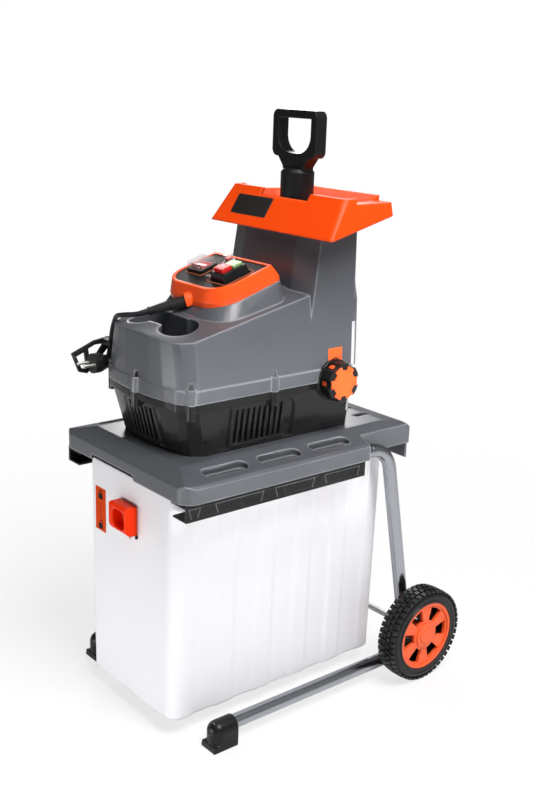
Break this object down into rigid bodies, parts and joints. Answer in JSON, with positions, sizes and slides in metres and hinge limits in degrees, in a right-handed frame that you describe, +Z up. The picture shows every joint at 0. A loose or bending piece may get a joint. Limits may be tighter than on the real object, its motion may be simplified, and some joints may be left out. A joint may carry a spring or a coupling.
{
  "type": "garden shredder",
  "caption": "Electric garden shredder on a wheeled tube stand, with a flared hopper, push stick, tilted switch panel, adjusting knob and a translucent slide-out chip bin",
  "frame": {"origin": "centre of the bounding box on the floor plane, under the machine", "axes": "+Z up, -Y to the front where the bin is drawn out, +X to the side of the adjusting knob"},
  "size_m": [0.4402, 0.544, 0.9152],
  "materials": {
    "deck_grey": "satin moulded",
    "black_plastic": "satin moulded",
    "gloss_black": "gloss moulded",
    "housing_grey": "satin moulded",
    "orange_plastic": "smooth moulded",
    "red_plastic": "smooth moulded",
    "green_plastic": "smooth moulded",
    "bin_white": "translucent moulded",
    "clear_plastic": "clear moulded",
    "silver_tube": "satin silver",
    "steel": "turned",
    "cutter_steel": "hardened",
    "cast_alloy": "die cast",
    "motor_paint": "satin paint",
    "copper_iron": "wound",
    "tyre_black": "treaded",
    "soft_black": "matt moulded"
  },
  "bodies": {
    "base": {"platform": "deck_grey", "rail_left": "black_plastic", "rail_right": "black_plastic", "frame_tube_left": "silver_tube", "frame_tube_right": "silver_tube", "foot_left": "black_plastic", "foot_right": "black_plastic", "frame_bolts": "steel", "wheel_axle": "steel", "axle_spacers": "black_plastic", "axle_clips": "steel", "safety_switch": "black_plastic", "lower_housing": "gloss_black", "upper_housing": "housing_grey", "housing_screws": "steel", "hopper": "orange_plastic", "feed_chute": "black_plastic", "cutter_frame": "cast_alloy", "drum_bearings": "steel", "gearbox_case": "cast_alloy", "gearbox_cover": "cast_alloy", "motor_can": "motor_paint", "motor_stator": "copper_iron", "capacitor": "black_plastic", "control_bezel": "orange_plastic", "control_panel": "black_plastic", "switch_box": "black_plastic", "rocker_frame": "black_plastic", "rocker_cover": "clear_plastic", "reset_cap": "clear_plastic", "strain_relief": "soft_black", "power_cord": "soft_black", "plug": "soft_black", "cord_hook": "black_plastic"},
    "wheel_left": {"tyre_left": "tyre_black", "rim_left": "orange_plastic", "hub_cap_left": "orange_plastic"},
    "wheel_right": {"tyre_right": "tyre_black", "rim_right": "orange_plastic", "hub_cap_right": "orange_plastic"},
    "bin": {"bin": "bin_white"},
    "lock": {"bin_lock": "red_plastic"},
    "plunger": {"switch_plunger": "black_plastic"},
    "pusher": {"pusher": "black_plastic"},
    "knob": {"adjusting_screw": "steel", "knob_grip": "black_plastic", "knob_cap": "orange_plastic"},
    "plate": {"counter_plate": "cast_alloy"},
    "drum": {"cutting_drum": "cutter_steel", "drum_shaft": "steel", "output_gear": "steel"},
    "layshaft": {"intermediate_gear": "steel"},
    "rotor": {"motor_rotor": "steel", "cooling_fan": "black_plastic"},
    "start": {"start_button": "green_plastic"},
    "stop": {"stop_button": "red_plastic"},
    "reset": {"reset_button": "red_plastic"},
    "rocker": {"direction_rocker": "red_plastic"}
  },
  "joints": [
    {"name": "wheel_left_spin", "type": "hinge", "parent": "base", "child": "wheel_left", "pos_m": [-0.2, 0.192, 0.08], "axis": [1, 0, 0], "continuous": true},
    {"name": "wheel_right_spin", "type": "hinge", "parent": "base", "child": "wheel_right", "pos_m": [0.2, 0.192, 0.08], "axis": [1, 0, 0], "continuous": true},
    {"name": "bin_slide", "type": "slide", "parent": "base", "child": "bin", "axis": [0, -1, 0], "range_m": [0, 0.4]},
    {"name": "lock_slide", "type": "slide", "parent": "bin", "child": "lock", "axis": [0, 0, 1], "range_m": [-0.018, 0]},
    {"name": "plunger_slide", "type": "slide", "parent": "base", "child": "plunger", "axis": [0, 0, 1], "range_m": [-0.0045, 0]},
    {"name": "pusher_lift", "type": "slide", "parent": "base", "child": "pusher", "axis": [0, 0, 1], "range_m": [0, 0.15]},
    {"name": "knob_turn", "type": "hinge", "parent": "base", "child": "knob", "pos_m": [0.115, 0.053, 0.517], "axis": [1, 0, 0], "range_deg": [-360, 720]},
    {"name": "plate_slide", "type": "slide", "parent": "base", "child": "plate", "axis": [1, 0, 0], "range_m": [-0.0015, 0.003]},
    {"name": "drum_spin", "type": "hinge", "parent": "base", "child": "drum", "pos_m": [-0.012, 0.057, 0.505], "axis": [0, 1, 0], "continuous": true},
    {"name": "layshaft_spin", "type": "hinge", "parent": "base", "child": "layshaft", "pos_m": [0.04373, -0.005, 0.47782], "axis": [0, 1, 0], "continuous": true},
    {"name": "rotor_spin", "type": "hinge", "parent": "base", "child": "rotor", "pos_m": [0.01102, -0.09, 0.49906], "axis": [0, 1, 0], "continuous": true},
    {"name": "start_press", "type": "slide", "parent": "base", "child": "start", "axis": [0, 0.309, -0.9511], "range_m": [0, 0.003], "stiffness_N_per_m": 300, "springref_m": -0.002},
    {"name": "stop_press", "type": "slide", "parent": "base", "child": "stop", "axis": [0, 0.309, -0.9511], "range_m": [0, 0.003], "stiffness_N_per_m": 300, "springref_m": -0.002},
    {"name": "reset_press", "type": "slide", "parent": "base", "child": "reset", "axis": [0, 0.309, -0.9511], "range_m": [0, 0.002], "stiffness_N_per_m": 300, "springref_m": -0.002},
    {"name": "rocker_tilt", "type": "hinge", "parent": "base", "child": "rocker", "pos_m": [-0.034, -0.09603, 0.68132], "axis": [1, 0, 0], "range_deg": [0, 14]}
  ],
  "couplings": [
    {"joint": "plunger_slide", "follows": "lock_slide", "ratio": 0.25},
    {"joint": "plate_slide", "follows": "knob_turn", "m_per_rad": 0.00023873},
    {"joint": "layshaft_spin", "follows": "drum_spin", "ratio": -3.4286},
    {"joint": "rotor_spin", "follows": "drum_spin", "ratio": 11.429}
  ]
}
